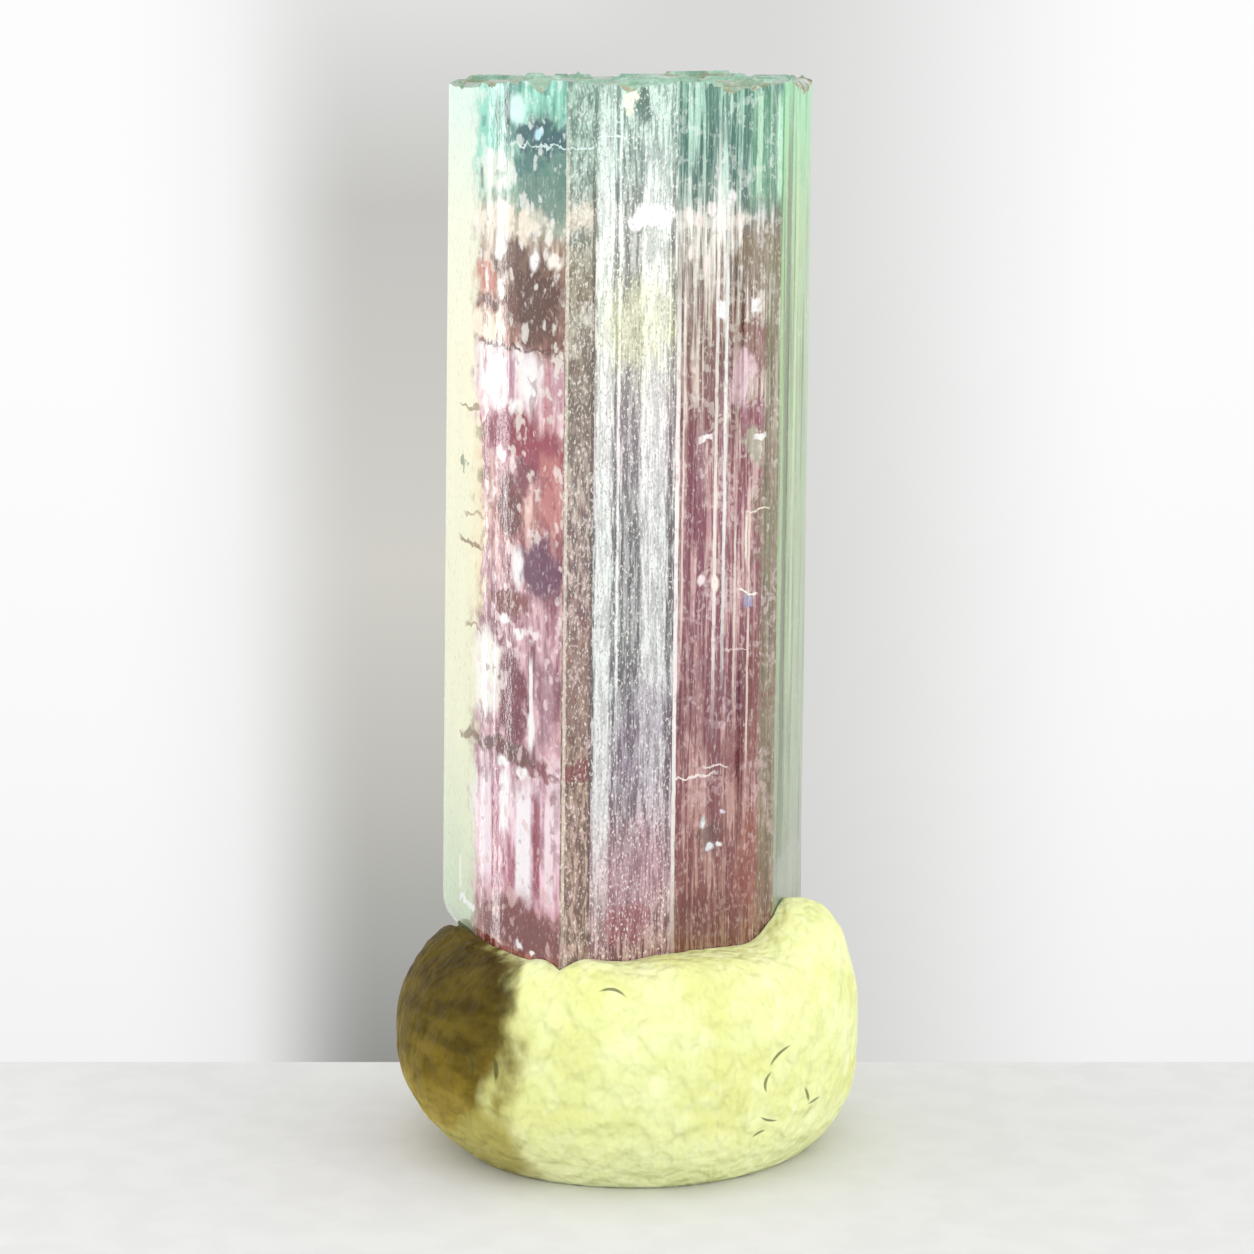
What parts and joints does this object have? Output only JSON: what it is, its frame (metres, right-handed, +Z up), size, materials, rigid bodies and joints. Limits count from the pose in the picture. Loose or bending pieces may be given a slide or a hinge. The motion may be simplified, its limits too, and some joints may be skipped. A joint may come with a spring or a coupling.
{
  "type": "bicolor tourmaline crystal",
  "caption": "Upright see-through tourmaline prism, green at the top and pink below, its foot pressed into a lump of pale yellow putty.",
  "frame": {"origin": "centre of the bounding box in plan, on the flat underside of the putty", "axes": "+Z up along the crystal's length, -Y to the picture's camera, +X to its right"},
  "size_m": [0.0144, 0.0136, 0.0327],
  "materials": {
    "tourmaline": "see-through and glassy with a silvery striated face, green at the top, pink below, pale green rims",
    "putty": "waxy matt, finely dimpled"
  },
  "bodies": {
    "root": {"crystal": "tourmaline", "putty_base": "putty"}
  },
  "joints": []
}
